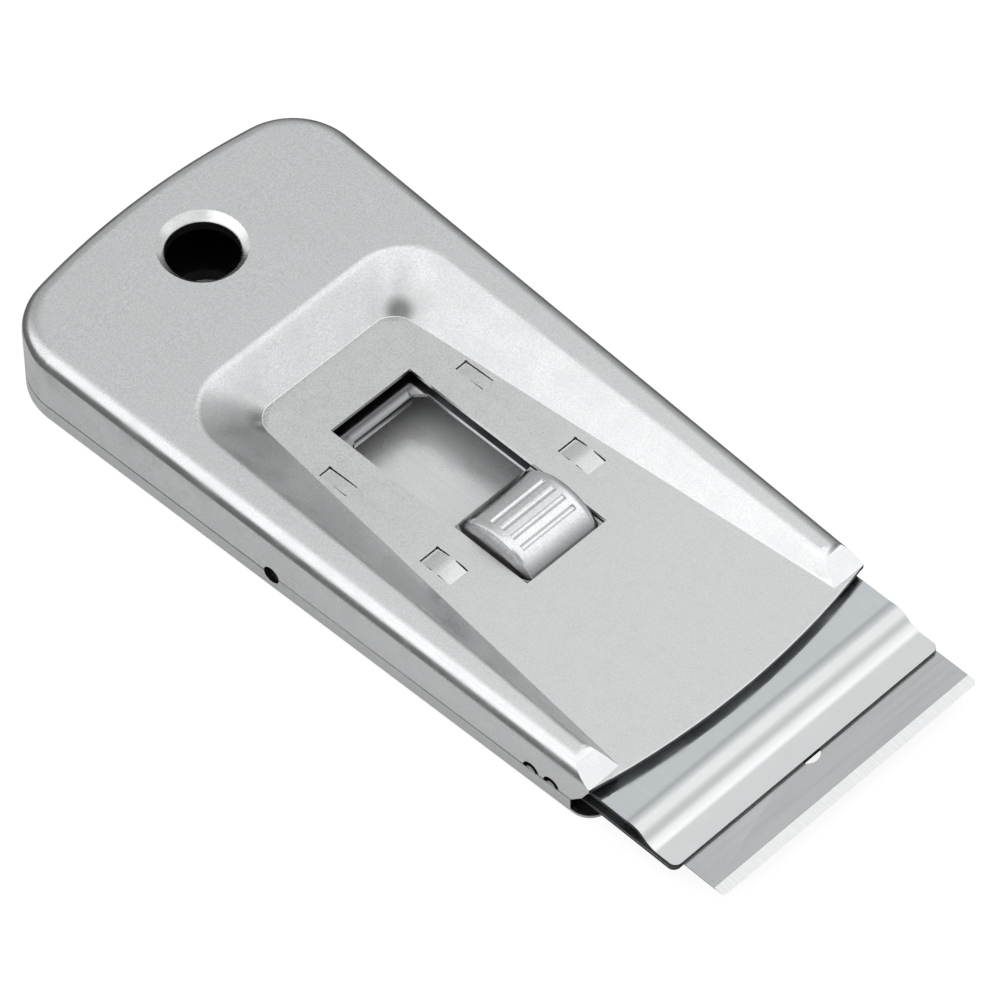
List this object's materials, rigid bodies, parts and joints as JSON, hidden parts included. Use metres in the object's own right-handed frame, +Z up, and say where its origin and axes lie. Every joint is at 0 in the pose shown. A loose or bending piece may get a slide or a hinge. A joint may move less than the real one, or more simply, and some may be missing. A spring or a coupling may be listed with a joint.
{
  "type": "hob scraper",
  "caption": "Flat pressed-steel scraper with a retractable blade holder, ribbed thumb slide in a window and a round hanging hole.",
  "frame": {"origin": "under the middle of the whole tool with its blade out, on the face it rests on", "axes": "+Y to the rear with the hanging hole, -Y to the blade, +Z up through the thumb window, +X across"},
  "size_m": [0.0478, 0.1116, 0.0113],
  "materials": {
    "cover_steel": "satin, fine matte grain",
    "pan_steel": "satin",
    "carrier_steel": "smooth rolled sheet",
    "clamp_steel": "smooth rolled sheet",
    "rivet_steel": "plain",
    "blade_steel": "fine ground",
    "button_steel": "bright satin",
    "spring_steel": "bright spring strip"
  },
  "bodies": {
    "housing": {"top_cover": "cover_steel", "base_pan": "pan_steel"},
    "slide": {"blade_carrier": "carrier_steel", "clamp_plate": "clamp_steel", "clamp_rivets": "rivet_steel", "blade": "blade_steel", "blade_peg": "rivet_steel", "button_spring": "spring_steel", "spring_rivets": "rivet_steel"},
    "button": {"thumb_button": "button_steel"}
  },
  "joints": [
    {"name": "blade_slide", "type": "slide", "parent": "housing", "child": "slide", "axis": [0, 1, 0], "range_m": [0, 0.019]},
    {"name": "button_press", "type": "slide", "parent": "slide", "child": "button", "axis": [0, 0, -1], "range_m": [0, 0.00045], "stiffness_N_per_m": 800, "springref_m": -0.0004}
  ]
}
